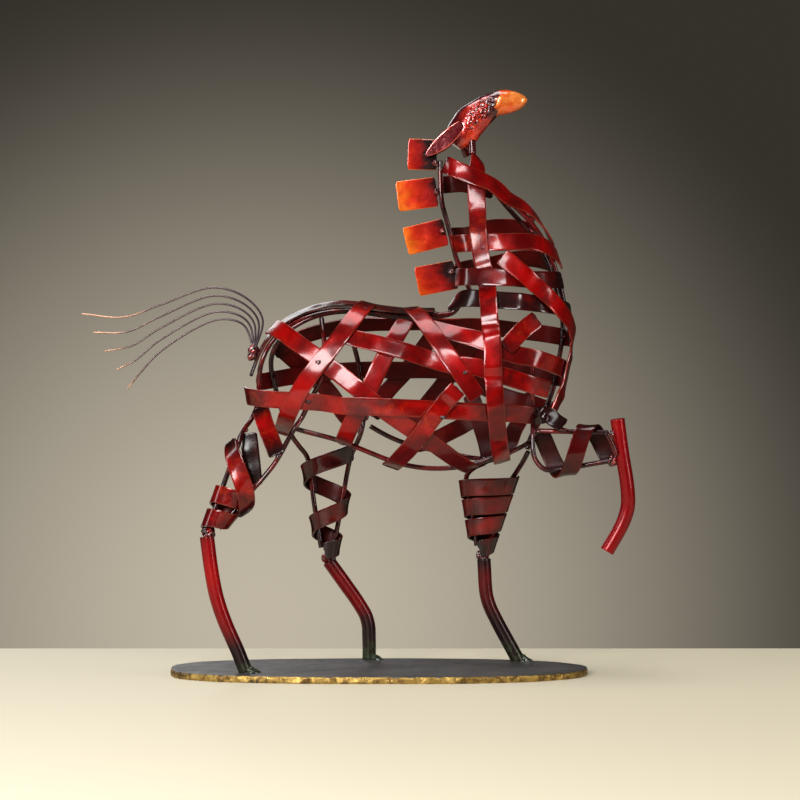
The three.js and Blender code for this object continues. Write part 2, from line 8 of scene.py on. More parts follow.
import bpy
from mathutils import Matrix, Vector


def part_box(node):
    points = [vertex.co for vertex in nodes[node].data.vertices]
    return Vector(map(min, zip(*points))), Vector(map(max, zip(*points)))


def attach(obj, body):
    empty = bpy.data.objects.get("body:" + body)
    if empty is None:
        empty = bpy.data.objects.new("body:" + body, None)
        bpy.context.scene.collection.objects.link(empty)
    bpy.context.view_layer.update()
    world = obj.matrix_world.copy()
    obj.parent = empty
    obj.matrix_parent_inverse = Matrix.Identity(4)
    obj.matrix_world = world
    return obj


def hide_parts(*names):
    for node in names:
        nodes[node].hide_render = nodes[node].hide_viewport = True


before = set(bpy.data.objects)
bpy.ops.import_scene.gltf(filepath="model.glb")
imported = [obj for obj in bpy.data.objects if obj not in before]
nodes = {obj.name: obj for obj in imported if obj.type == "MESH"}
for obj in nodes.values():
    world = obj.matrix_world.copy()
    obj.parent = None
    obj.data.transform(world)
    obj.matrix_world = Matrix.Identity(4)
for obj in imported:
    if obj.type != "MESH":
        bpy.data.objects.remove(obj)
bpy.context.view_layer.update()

import math
import random

import bmesh
import bpy
import numpy as np
from mathutils import Vector, noise

MM = 0.001

# %% [markdown]
# ## The camera
# The horse is looked at from its right side, level, at about half its height and from a good way
# off, so that near and far legs keep nearly the same size. A long lens does that. The camera is
# made first, because every later choice of finish is judged through it.

# %% Make the camera
lens = bpy.data.cameras.new("camera")
lens.sensor_width = 36
lens.lens = 121.8
lens.clip_start = 0.05
camera = bpy.data.objects.new("camera", lens)
camera.location = (0.0133, -1.6, 0.162)
camera.rotation_euler = (math.radians(90), 0, 0)
bpy.context.scene.collection.objects.link(camera)
bpy.context.scene.camera = camera
print("lens", lens.lens, "mm")

# %% [markdown]
# ## Floor, backdrop and light
# Glossy lacquer shows what is round it more than its own colour. A small key light in front, high
# on the left, and a weaker one above it draw the white streaks along the bent bars. A tall narrow
# light on each side lines the edges, one overhead lights the floor, the back and the base plate,
# and a faint one behind parts the far strips from the room. The lights are small, because a large
# one would be mirrored all over the lacquer and turn the deep reds milky.


# %% Helpers for the studio
def clear_selection():
    if bpy.context.object and bpy.context.object.mode != "OBJECT":
        bpy.ops.object.mode_set(mode="OBJECT")
    bpy.ops.object.select_all(action="DESELECT")


def soft_light(name, place, target, size, power, colour=(1, 1, 1)):
    lamp = bpy.data.lights.new(name, "AREA")
    lamp.shape = "RECTANGLE"
    lamp.size, lamp.size_y = size
    lamp.energy = power
    lamp.color = colour
    holder = bpy.data.objects.new(name, lamp)
    holder.location = place
    holder.rotation_euler = (Vector(target) - Vector(place)).to_track_quat("-Z", "Y").to_euler()
    holder.visible_camera = False
    bpy.context.scene.collection.objects.link(holder)
    return holder


# %% Lay the floor and light the room
FLOOR_BACK, FLOOR_FRONT, FLOOR_REACH = 0.165, -0.62, 2.5
clear_selection()
bpy.ops.mesh.primitive_plane_add(size=1)
floor = bpy.context.object
floor.name = "floor"
for corner in floor.data.vertices:
    corner.co = (corner.co.x * 2 * FLOOR_REACH, FLOOR_BACK if corner.co.y > 0 else FLOOR_FRONT, 0)
paint = bpy.data.materials.new("floor paint")
paint.use_nodes = True
paint.node_tree.nodes["Principled BSDF"].inputs["Base Color"].default_value = (0.6, 0.54, 0.4, 1)
paint.node_tree.nodes["Principled BSDF"].inputs["Roughness"].default_value = 0.6
floor.data.materials.append(paint)

TARGET = (0, 0, 0.17)
soft_light("key", (-0.52, -1.32, 0.54), TARGET, (0.6, 0.38), 21)
soft_light("brow", (-0.08, -1.2, 0.98), TARGET, (0.3, 0.2), 5)
soft_light("left", (-1.45, -0.4, 0.55), TARGET, (0.2, 0.9), 6)
soft_light("right", (1.3, -0.85, 0.5), TARGET, (0.25, 0.8), 9, (1, 0.97, 0.93))
soft_light("top", (-0.15, -0.1, 1.6), TARGET, (1.0, 0.6), 15)
soft_light("back", (-0.5, 1.3, 0.8), TARGET, (0.8, 0.6), 4)
print("floor and six lights are up")

# %% [markdown]
# The backdrop is the sky of the scene: a warm grey, lighter behind the horse and falling off
# towards the sides and upwards, as a wall does behind a lamp.

# %% Shade the backdrop
world = bpy.data.worlds.new("studio")
world.use_nodes = True
room = world.node_tree
heading = room.nodes.new("ShaderNodeTexCoord").outputs["Generated"]
away = room.nodes.new("ShaderNodeVectorMath")
away.operation = "DISTANCE"
away.inputs[1].default_value = (-0.05, 0.996, -0.08)
room.links.new(heading, away.inputs[0])
fall = room.nodes.new("ShaderNodeMapRange")
fall.interpolation_type = "SMOOTHSTEP"
fall.inputs["From Min"].default_value, fall.inputs["From Max"].default_value = 0.0, 0.25
fall.inputs["To Min"].default_value, fall.inputs["To Max"].default_value = 0.52, 0.035
room.links.new(away.outputs["Value"], fall.inputs["Value"])
tint = room.nodes.new("ShaderNodeMix")
tint.data_type = "RGBA"
tint.inputs["A"].default_value, tint.inputs["B"].default_value = (0, 0, 0, 1), (1, 0.89, 0.7, 1)
room.links.new(fall.outputs["Result"], tint.inputs["Factor"])
room.links.new(tint.outputs["Result"], room.nodes["Background"].inputs["Color"])
bpy.context.scene.world = world
bpy.context.scene.view_settings.view_transform = "Standard"
print("backdrop from", *(fall.inputs[end].default_value for end in ("To Min", "To Max")))

# %% [markdown]
# ## Reading the bars
# Every strip and rod of the frame is a loft: one small cross-section repeated along its length.
# To bend finer stock along the same line, the sections are read back in order. The flat end of
# a bar is the one face with a sharp edge all round and just as many corners as the section,
# and from there each next section is simply the ring of neighbours not yet seen.


# %% Read the cross-sections of a bar
SHARP = math.radians(65)


def end_faces(mesh, corners):
    """The flat ends of a bar, each as its set of vertices."""
    ends, seen = [], set()
    for start in mesh.faces:
        if start in seen:
            continue
        patch, queue, rim = {start}, [start], []
        while queue:
            for edge in queue.pop().edges:
                for face in edge.link_faces:
                    if face in patch:
                        continue
                    if edge.calc_face_angle(0) < 0.01:
                        patch.add(face)
                        queue.append(face)
                    else:
                        rim.append(edge.calc_face_angle(0))
        seen |= patch
        vertices = {v for face in patch for v in face.verts}
        if len(vertices) == corners and min(rim, default=0) > SHARP:
            ends.append(vertices)
    return ends


def read_sections(name, corners):
    mesh = bmesh.new()
    mesh.from_mesh(nodes[name].data)
    bmesh.ops.remove_doubles(mesh, verts=mesh.verts, dist=1e-5)
    mesh.verts.index_update()
    ring = end_faces(mesh, corners)[0]
    seen, sections = set(ring), []
    while ring:
        # A set has no order of its own, so the corners are sorted: every run is then the same.
        sections.append([v.co.copy() for v in sorted(ring, key=lambda v: v.index)])
        ring = {e.other_vert(v) for v in ring for e in v.link_edges} - seen
        seen |= ring
    mesh.free()
    odd = [len(s) for s in sections if len(s) != corners]
    if odd:
        print("uneven sections in", name, odd)
    return sections


print("sections of one rod:", len(read_sections("belly-rod-right", 6)))

# %% [markdown]
# A flat section has two short sides. Their middles give the way across the bar, and the way from
# one face to the other gives its facing. Neighbouring sections are kept in step with each other,
# and in the end the whole bar is turned so that its good face looks away from the horse.


# %% Lines of a flat bar
def flat_sections(name):
    """Middle, facing and width of every section of a flat bar."""
    middles, facings, widths, last = [], [], [], None
    for corners in read_sections(name, 4):
        first = corners[0]
        mate = min(corners[1:], key=lambda p: (p - first).length)
        others = [p for p in corners[1:] if p is not mate]
        pair_a, pair_b = (first, mate), tuple(others)
        face = (pair_a[1] - pair_a[0]).normalized()
        if last is not None and face.dot(last) < 0:
            face = -face
        last = face
        middles.append(sum(corners, Vector()) / 4)
        facings.append(face)
        widths.append(((pair_a[0] + pair_a[1]) / 2 - (pair_b[0] + pair_b[1]) / 2).length)
    return np.array(middles), np.array(facings), np.array(widths)


def smooth_rows(rows, parts, springy=False):
    """Rows of numbers with parts - 1 new rows between each two, on a curve through them all.
    A springy curve bends evenly even where the rows lie at uneven distances."""
    padded = np.vstack([2 * rows[:1] - rows[1:2], rows, 2 * rows[-1:] - rows[-2:-1]])
    made = []
    for i in range(len(rows) - 1):
        a, b, c, d = padded[i:i + 4]
        gaps = [np.linalg.norm(q - p) ** 0.5 if springy else 1.0
                for p, q in ((a, b), (b, c), (c, d))]
        leave = ((b - a) / gaps[0] - (c - a) / (gaps[0] + gaps[1])) * gaps[1] + c - b
        reach = ((d - c) / gaps[2] - (d - b) / (gaps[1] + gaps[2])) * gaps[1] + c - b
        for t in np.arange(parts) / parts:
            made.append(b + leave * t + (3 * (c - b) - 2 * leave - reach) * t ** 2
                        + (2 * (b - c) + leave + reach) * t ** 3)
    return np.array(made + [rows[-1]])


def unit(rows):
    return rows / np.linalg.norm(rows, axis=1, keepdims=True)


def bar_line(middles, facings, widths, parts=4):
    """A fine line for a flat bar: place, heading, facing, way across, width and run so far."""
    line = {"place": smooth_rows(middles, parts)}
    line["heading"] = unit(np.gradient(line["place"], axis=0))
    facing = smooth_rows(facings, parts)
    facing -= line["heading"] * (facing * line["heading"]).sum(1, keepdims=True)
    line["facing"] = unit(facing)
    line["across"] = np.cross(line["facing"], line["heading"])
    line["width"] = smooth_rows(widths[:, None], parts)[:, 0]
    steps = np.linalg.norm(np.diff(line["place"], axis=0), axis=1)
    line["run"] = np.concatenate([[0], np.cumsum(steps)])
    return line


MIDDLE_Y = 5 * MM
TRUNK_HEART, NECK_HEART = Vector((0, MIDDLE_Y, 0.175)), Vector((0.076, MIDDLE_Y, 0))


def heart_of(name, middles):
    """Points inside the horse that a bar has to turn its back on."""
    hearts = middles.copy()
    if "gaskin" in name or "hock" in name or "forearm" in name:
        hearts[:, :2] = middles[:, :2].mean(0)
    elif any(word in name for word in ("neck", "throat", "cheek")):
        hearts[:, 0], hearts[:, 1] = NECK_HEART.x, NECK_HEART.y
    else:
        hearts[:, 1], hearts[:, 2] = TRUNK_HEART.y, TRUNK_HEART.z
    return hearts


def strip_line(name):
    middles, facings, widths = flat_sections(name)
    if ((middles - heart_of(name, middles)) * facings).sum() < 0:
        facings = -facings
    return bar_line(middles, facings, widths)


strip_names = sorted(name for name in nodes if "-strip-" in name)
lines = {name: strip_line(name) for name in strip_names}
print(len(lines), "strips, longest",
      round(max(line["run"][-1] for line in lines.values()) / MM), "mm")

# %% [markdown]
# ## Where the welds are
# The maker tacks each strip to the rods with a short weld and the heat leaves a black bloom round
# it. The same places are wanted twice, once for the beads and once for the soot in the lacquer,
# so they are worked out here: every spot where the middle of a strip passes close to a rod.


# %% Read the rods and find the weld spots
def rod_line(name, corners, parts=5):
    rings = read_sections(name, corners)
    middles = np.array([sum(ring, Vector()) / len(ring) for ring in rings])
    radii = np.array([[max((p - sum(ring, Vector()) / len(ring)).length for p in ring)]
                      for ring in rings])
    return smooth_rows(middles, parts), smooth_rows(radii, parts)[:, 0]


rod_names = sorted(name for name in nodes if "-rod" in name)
shin_names = sorted(name for name in nodes if "-shin-" in name)
rods = {name: rod_line(name, 6) for name in rod_names}
shins = {name: rod_line(name, 12) for name in shin_names}


def weld_spots(line, reach=6.5 * MM, apart=14 * MM):
    """Places on a strip that lie close over a rod, with the rod's heading there."""
    spots = []
    for name, (path, _) in {**rods, **shins}.items():
        gaps = np.linalg.norm(line["place"][:, None] - path[None], axis=2)
        for _ in range(3):
            i, j = np.unravel_index(gaps.argmin(), gaps.shape)
            if gaps[i, j] > reach:
                break
            along = Vector(path[min(j + 1, len(path) - 1)] - path[max(j - 1, 0)]).normalized()
            spots.append((Vector(line["place"][i]), Vector(path[j]), along, name))
            close = np.linalg.norm(line["place"] - line["place"][i], axis=1) < apart
            gaps[close] = 1
    return spots


welds = {name: weld_spots(line) for name, line in lines.items()}
print(sum(len(spots) for spots in welds.values()), "weld spots")

# %% [markdown]
# ## Red candy lacquer
# Candy lacquer is a clear coloured coat over bright metal. It is deep and almost black where it
# is thick or looks at nothing bright, cherry where light gets through, and orange where it is
# thin: along the edges and in cloudy patches. So the base is metallic, its colour comes from five
# cloud patterns and the two marks that each strip carries: how near the edge a point is, and how
# much soot and painted shade lies on it. Just inside the edges the colour is painted darker as
# shade, and the inner side of each strip is painted dark, partly as shade. A clear coat on top
# gives the sharp white lights.


# %% A small kit for materials
class Finish:
    """A material with helpers that wire one node to the next."""

    def __init__(self, name):
        self.material = bpy.data.materials.new(name)
        self.material.use_nodes = True
        self.tree = self.material.node_tree
        self.shader = self.tree.nodes["Principled BSDF"]
        self.place = self.tree.nodes.new("ShaderNodeTexCoord").outputs["Object"]

    def fix(self, **values):
        for socket, value in values.items():
            self.shader.inputs[socket.replace("_", " ")].default_value = value
        return self

    def link(self, source, socket):
        self.tree.links.new(source, self.shader.inputs[socket])
        return self

    def put(self, socket, value):
        if isinstance(value, bpy.types.NodeSocket):
            self.tree.links.new(value, socket)
        else:
            socket.default_value = value

    def cloud(self, size, detail=3.0, rough=0.55, warp=0.0, stretch=(1, 1, 1)):
        """Noise whose patches are about size metres across."""
        node = self.tree.nodes.new("ShaderNodeTexNoise")
        turn = self.tree.nodes.new("ShaderNodeMapping")
        turn.inputs["Scale"].default_value = stretch
        self.tree.links.new(self.place, turn.inputs["Vector"])
        self.tree.links.new(turn.outputs["Vector"], node.inputs["Vector"])
        node.inputs["Scale"].default_value = 1 / size
        node.inputs["Detail"].default_value = detail
        node.inputs["Roughness"].default_value = rough
        node.inputs["Distortion"].default_value = warp
        return node.outputs["Fac"]

    def mark(self, name):
        """A value that the mesh itself carries."""
        node = self.tree.nodes.new("ShaderNodeAttribute")
        node.attribute_name = name
        return node.outputs["Fac"]

    def span(self, value, low, high, to_low=0.0, to_high=1.0):
        node = self.tree.nodes.new("ShaderNodeMapRange")
        node.interpolation_type = "SMOOTHSTEP"
        for socket, number in zip(("Value", "From Min", "From Max", "To Min", "To Max"),
                                  (value, low, high, to_low, to_high)):
            self.put(node.inputs[socket], number)
        return node.outputs["Result"]

    def sum(self, a, b, way="ADD"):
        node = self.tree.nodes.new("ShaderNodeMath")
        node.operation = way
        node.use_clamp = way in ("ADD", "MULTIPLY")
        self.put(node.inputs[0], a)
        self.put(node.inputs[1], b)
        return node.outputs["Value"]

    def blend(self, share, first, second):
        node = self.tree.nodes.new("ShaderNodeMix")
        node.data_type = "RGBA"
        self.put(node.inputs["Factor"], share)
        for socket, colour in ((node.inputs["A"], first), (node.inputs["B"], second)):
            self.put(socket, (*colour, 1) if isinstance(colour, tuple) else colour)
        return node.outputs["Result"]

    def bumps(self, *layers):
        """Bump layers, each a height pattern and its depth in metres."""
        last = None
        for height, depth in layers:
            node = self.tree.nodes.new("ShaderNodeBump")
            node.inputs["Distance"].default_value = depth
            self.tree.links.new(height, node.inputs["Height"])
            if last is not None:
                self.tree.links.new(last, node.inputs["Normal"])
            last = node.outputs["Normal"]
        self.tree.links.new(last, self.shader.inputs["Normal"])
        return self


CHERRY, MAROON, FLAME = (0.27, 0.0006, 0.0005), (0.075, 0.0005, 0.0006), (0.5, 0.035, 0.003)
# The darkest colour stands for soot and for painted shade.
SOOT_AND_SHADE_COLOUR, EDGE_GLOW = (0.01, 0.0015, 0.0015), (0.75, 0.13, 0.05)
print("material kit ready")


# %% Mix the strip lacquer and its dull inner side, painted darker as shade
def strip_lacquer(name, dull_and_shaded):
    finish = Finish(name)
    patches = finish.span(finish.cloud(0.03, 4, 0.6, 0.6), 0.38, 0.66)
    flecks = finish.span(finish.cloud(0.0045, 5, 0.7, 0.4), 0.46, 0.76)
    thin = finish.span(finish.cloud(0.045, 2, 0.5, 0.3), 0.5, 0.68)
    colour = finish.blend(patches, MAROON, CHERRY)
    colour = finish.blend(finish.sum(finish.sum(flecks, thin, "MULTIPLY"), 0.5, "MULTIPLY"),
                          colour, FLAME)
    # Just inside each edge the colour is darkened in patches: painted shade that rounds the bar.
    shade = finish.sum(finish.span(finish.mark("edge"), 0.55, 0.95),
                       finish.span(finish.cloud(0.009, 4), 0.35, 0.65), "MULTIPLY")
    colour = finish.blend(finish.sum(shade, 0.7, "MULTIPLY"), colour, MAROON)
    streaks = finish.cloud(0.006, 3, 0.6, 0.2)
    edge = finish.span(finish.sum(finish.mark("edge"), finish.sum(streaks, 0.2, "MULTIPLY")),
                       0.98, 1.1)
    colour = finish.blend(finish.sum(edge, 0.3 if dull_and_shaded else 0.75, "MULTIPLY"), colour, EDGE_GLOW)
    # This mark blends towards near black: soot at the ends and welds, and painted shade on the
    # strips of the far legs and the near hind leg.
    ragged = finish.span(finish.cloud(0.016, 5, 0.6, 0.4), 0.3, 0.7, -0.14, 0.14)
    soot = finish.span(finish.sum(finish.mark("soot"), ragged), 0.1, 0.9)
    colour = finish.blend(soot, colour, SOOT_AND_SHADE_COLOUR)
    # The inner side is darkened: thinner lacquer, and painted shade on the faces turned into the
    # body.
    if dull_and_shaded:
        colour = finish.blend(0.7, colour, (0.02, 0.004, 0.003))
    finish.link(colour, "Base Color")
    smear = finish.cloud(0.012, 4, 0.6, 0.5)
    finish.link(finish.span(smear, 0.3, 0.7, 0.4 if dull_and_shaded else 0.26, 0.6 if dull_and_shaded else 0.44),
                "Roughness")
    finish.fix(Metallic=0.25, Specular_IOR_Level=0.05, Coat_Weight=0.1 if dull_and_shaded else 0.6,
               Coat_Roughness=0.25 if dull_and_shaded else 0.13)
    finish.bumps((finish.cloud(0.009, 2), 0.00025), (finish.cloud(0.0012, 3, 0.6), 0.00003))
    return finish.material


red_lacquer = strip_lacquer("red candy lacquer", False)
inner_lacquer_with_shade = strip_lacquer("thin lacquer inside with painted shade", True)
print(red_lacquer.name, "and", inner_lacquer_with_shade.name)

# %% [markdown]
# ## Bending flat bar
# A strip starts as a flat grid, long and narrow, as the bar did. The grid is laid along the line
# that was read from the frame, a little wavy because it was bent round by hand, with its ends
# cut by a torch. Solidify gives it its thickness and tells the inner side apart, and a bevel
# takes off the sharp edges, so that they catch a fine line of light.


# %% Helpers for finished pieces
def apply_modifiers(piece):
    clear_selection()
    piece.select_set(True)
    bpy.context.view_layer.objects.active = piece
    for modifier in list(piece.modifiers):
        bpy.ops.object.modifier_apply(modifier=modifier.name)


def smooth_shade(piece, angle=35):
    clear_selection()
    piece.select_set(True)
    bpy.context.view_layer.objects.active = piece
    bpy.ops.object.shade_smooth_by_angle(angle=math.radians(angle))


def add_mark(piece, name, values):
    layer = piece.data.attributes.new(name, "FLOAT", "POINT")
    layer.data.foreach_set("value", np.asarray(values, dtype=np.float32))


def points_of(piece):
    flat = np.empty(len(piece.data.vertices) * 3)
    piece.data.vertices.foreach_get("co", flat)
    return flat.reshape(-1, 3)


def set_points(piece, points):
    piece.data.vertices.foreach_set("co", np.asarray(points).ravel())
    piece.data.update()


def dress(piece, node, *materials):
    for material in materials:
        piece.data.materials.append(material)
    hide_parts(node)
    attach(piece, "root")


def waver(points, size, seed):
    """Smooth random values, one for each point, between about -1 and 1."""
    shift = Vector((seed * 7.1, seed * 3.7, seed * 1.3))
    return np.array([noise.noise(Vector(p) / size + shift) for p in points]) * 2


# %% Bend one ribbon
STRIP_THICKNESS = 1.2 * MM


def ribbon(name, line, seed, columns=8, thickness=STRIP_THICKNESS, rough_ends=0.6 * MM,
           ripple=0.12 * MM, corner=0.8 * MM):
    rows = len(line["run"]) - 1
    clear_selection()
    bpy.ops.mesh.primitive_grid_add(x_subdivisions=rows, y_subdivisions=columns, size=1)
    piece = bpy.context.object
    piece.name = piece.data.name = name
    grid = points_of(piece)
    row = np.rint((grid[:, 0] + 0.5) * rows).astype(int)
    share = grid[:, 1] * 2
    wave = waver(line["place"], 0.012, seed)
    half = line["width"][row] / 2 * (1 + 0.012 * wave[row])
    points = line["place"][row] + line["across"][row] * (share * half)[:, None]
    points += line["facing"][row] * (ripple * waver(points, 0.008, seed + 1))[:, None]
    ends = np.where(row == 0, 1.0, np.where(row == rows, -1.0, 0.0))
    bite = rough_ends * (0.5 + 0.5 * waver(points, 0.0016, seed + 2).clip(-1, 1))
    bite += corner * np.clip(np.abs(share) * 4 - 3, 0, 1)
    points += line["heading"][row] * (ends * bite)[:, None]
    set_points(piece, points)
    shell = piece.modifiers.new("thickness", "SOLIDIFY")
    shell.thickness, shell.offset, shell.material_offset = thickness - 0.06 * MM, 0, 1
    soften = piece.modifiers.new("edges", "BEVEL")
    soften.width, soften.segments = 0.2 * MM, 2
    soften.limit_method, soften.angle_limit = "ANGLE", math.radians(50)
    return piece


# The long flank strip darkens where it folds over the raised leg: from where, over how many mm
# and how much with each mm.
FOLD_START, FOLD_REACH, FOLD_SOOT = 84 * MM, 10, 0.08


def mark_strip(piece, line, spots, sooty):
    """Writes how near each point is to the bar's edge, and its soot and painted shade."""
    points = points_of(piece)
    nearest = np.concatenate([
        np.linalg.norm(part[:, None] - line["place"][None], axis=2).argmin(1)
        for part in np.array_split(points, 8)])
    offset = points - line["place"][nearest]
    edge = np.abs((offset * line["across"][nearest]).sum(1)) / (line["width"][nearest] / 2)
    run = line["run"][nearest] + (offset * line["heading"][nearest]).sum(1)
    to_end = np.minimum(run, line["run"][-1] - run).clip(0)
    # The base value is soot on some strips and painted shade on others; the ends and welds add
    # soot.
    soot = sooty + 0.55 * np.exp(-to_end / (6 * MM))
    for at, _, _, _ in spots:
        soot += 0.3 * np.exp(-(np.linalg.norm(points - np.array(at), axis=1) / (6 * MM)) ** 2)
    if piece.name == "flank-strip-right-bent":
        soot += ((points[:, 0] - FOLD_START) / MM).clip(0, FOLD_REACH) * FOLD_SOOT
    add_mark(piece, "edge", edge)
    add_mark(piece, "soot", soot)


# %% [markdown]
# Some strips are darker all over. The short ones by the welds of the withers and the neck stay
# nearly black with soot, and the wrapping of the raised leg and the inner thigh strip are nearly
# black too. On the strips of the far legs, and a little on the thigh, gaskin and hock strips of
# the near hind leg, the darkening is painted shade. All strips are bent by the same loop, each
# from its own seed, so that no two wander alike.

# %% Bend all the strips
# How much darker each strip is all over: soot on the withers, back and neck strips, painted shade
# on the far legs and on the thigh, gaskin and hock strips of the near hind leg.
SOOT_AND_SHADE_BY_STRIP = {
    "neck-strip-right-1": 0.52, "shoulder-strip-short": 0.1, "forearm-strip-right": 0.5,
    "thigh-strip-right-inner": 0.75, "forearm-strip-left": 0.5, "gaskin-strip-left": 0.58,
    "withers-strip-right": 0.75, "cheek-strip-right": 0.15, "back-strip-right": 0.62,
    "hock-strip-right": 0.18, "gaskin-strip-right": 0.22, "thigh-strip-right": 0.22,
}
faces = 0
for seed, name in enumerate(strip_names):
    strip = ribbon(name + "-bent", lines[name], seed * 11)
    dress(strip, name, red_lacquer, inner_lacquer_with_shade)
    apply_modifiers(strip)
    mark_strip(strip, lines[name], welds[name], SOOT_AND_SHADE_BY_STRIP.get(name, 0.0))
    smooth_shade(strip)
    faces += len(strip.data.polygons)
print(len(strip_names), "strips bent,", faces, "faces")

# %% [markdown]
# ## Rods and lower legs
# Round rod is easiest as a curve with a round bevel: the curve runs through the middle of the
# sections and the bevel is the rod. The ends are closed and rounded after it is made a mesh.
# The thin rods are the darkest metal on the horse, deep wine with black; the thick lower legs
# are clear candy red that fades to black and a trace of green at the welded feet, and the two on
# the far side are painted darker as shade.


# %% Rod and leg lacquers
def rod_lacquer():
    finish = Finish("black wine lacquer")
    patches = finish.span(finish.cloud(0.02, 4, 0.6, 0.7), 0.42, 0.7)
    colour = finish.blend(patches, (0.014, 0.002, 0.002), (0.13, 0.004, 0.004))
    finish.link(colour, "Base Color")
    finish.link(finish.span(finish.cloud(0.006, 4), 0.3, 0.7, 0.18, 0.4), "Roughness")
    finish.fix(Metallic=0.3, Specular_IOR_Level=0.1, Coat_Weight=0.6, Coat_Roughness=0.06)
    finish.bumps((finish.cloud(0.005, 3), 0.0003), (finish.cloud(0.0011, 3), 0.00004))
    return finish.material


def leg_lacquer():
    finish = Finish("candy lacquer on the legs")
    patches = finish.span(finish.cloud(0.05, 3, 0.5, 0.3), 0.35, 0.65)
    colour = finish.blend(patches, (0.16, 0.001, 0.002), (0.27, 0.001, 0.002))
    # This mark blends towards black: soot at the feet and tops, and painted shade on the far legs.
    ragged = finish.span(finish.cloud(0.012, 4, 0.55, 0.4), 0.3, 0.7, -0.07, 0.07)
    soot = finish.span(finish.sum(finish.mark("soot"), ragged), 0.2, 0.8)
    green = finish.sum(finish.span(finish.cloud(0.004, 4), 0.35, 0.65),
                       finish.span(finish.mark("soot"), 0.85, 1.15), "MULTIPLY")
    dark = finish.blend(green, (0.012, 0.004, 0.004), (0.03, 0.04, 0.018))
    finish.link(finish.blend(soot, colour, dark), "Base Color")
    finish.link(finish.span(finish.cloud(0.01, 4), 0.3, 0.7, 0.3, 0.45), "Roughness")
    finish.fix(Metallic=0.3, Specular_IOR_Level=0.06, Coat_Weight=0.3, Coat_Roughness=0.2)
    finish.bumps((finish.cloud(0.02, 2), 0.0001), (finish.cloud(0.0012, 3), 0.00002))
    return finish.material


dark_rod, red_leg = rod_lacquer(), leg_lacquer()
print(dark_rod.name, "and", red_leg.name)


# %% Draw round stock along a line
def round_bar(name, path, radii, resolution=5, cap=0.5 * MM):
    """A round bar through the points of path, as a closed mesh with softened ends."""
    clear_selection()
    bpy.ops.curve.primitive_nurbs_path_add()
    piece = bpy.context.object
    piece.name = piece.data.name = name
    curve = piece.data
    curve.splines.clear()
    spline = curve.splines.new("POLY")
    spline.points.add(len(path) - 1)
    for point, at, radius in zip(spline.points, path, radii):
        point.co = (*at, 1)
        point.radius = radius / MM
    curve.dimensions, curve.bevel_depth, curve.bevel_resolution = "3D", MM, resolution
    curve.use_fill_caps = True
    curve.twist_mode = "MINIMUM"
    bpy.ops.object.convert(target="MESH")
    piece = bpy.context.object
    bpy.ops.object.mode_set(mode="EDIT")
    bpy.ops.mesh.select_all(action="SELECT")
    bpy.ops.mesh.remove_doubles(threshold=1e-6)
    bpy.ops.mesh.normals_make_consistent(inside=False)
    bpy.ops.object.mode_set(mode="OBJECT")
    soften = piece.modifiers.new("ends", "BEVEL")
    soften.width, soften.segments = cap, 3
    soften.limit_method, soften.angle_limit = "ANGLE", math.radians(60)
    apply_modifiers(piece)
    return piece


SNUG = 0.985  # the sections' corners stand a little outside the true round
faces = 0
for name, (path, radii) in rods.items():
    rod = round_bar(name + "-drawn", path, radii * SNUG)
    dress(rod, name, dark_rod)
    smooth_shade(rod, 40)
    faces += len(rod.data.polygons)
print(len(rods), "rods,", faces, "faces")

# %% Draw the lower legs
FOOT_SOOT, TOP_SOOT = 30 * MM, 8 * MM
# The two lower legs on the far side are painted darker as shade.
FAR_SHIN_PAINTED_SHADE = {"fore-shin-left": 0.2, "hind-shin-left": 0.14}
for name, (path, radii) in shins.items():
    if path[0][2] < path[-1][2]:
        path, radii = path[::-1], radii[::-1]
    wave = waver(path, 0.02, len(name))
    shin = round_bar(name + "-drawn", path, radii * (SNUG + 0.012 * wave.clip(-1, 1)), 9,
                     1.0 * MM)
    points = points_of(shin)
    standing = name != "fore-shin-right"
    height = points[:, 2] - points[:, 2].min()
    soot = 1.2 * np.exp(-height / FOOT_SOOT) if standing else 0.25 * np.exp(-height / TOP_SOOT)
    soot = soot + 0.5 * np.exp(-(points[:, 2].max() - points[:, 2]) / TOP_SOOT)
    soot += FAR_SHIN_PAINTED_SHADE.get(name, 0)
    add_mark(shin, "soot", soot)
    dress(shin, name, red_leg)
    smooth_shade(shin, 40)
print(len(shins), "lower legs drawn")

# %% [markdown]
# ## The mane
# Four small plates stand out behind the neck, each held by one blob of weld. The torch has coloured
# them: black by the weld, then red, and orange to yellow at the free end. A plate is a very short,
# wide ribbon, so it is bent by the same tool, and it carries its distance from the free end.

# %% Cut the mane plates
MANE = [  # middle x and z, width, height in mm, tilt in degrees, heat at the free end and the weld
    (26.6, 307.5, 17.5, 18.3, -2, 0.5, 1.3), (23.4, 284, 24, 17.8, 7, 0.08, 0.9),
    (28.5, 258.8, 25, 16.5, 14, 0.12, 0.85), (34.9, 234.3, 24, 17.5, 11, 0.28, 1.1),
]


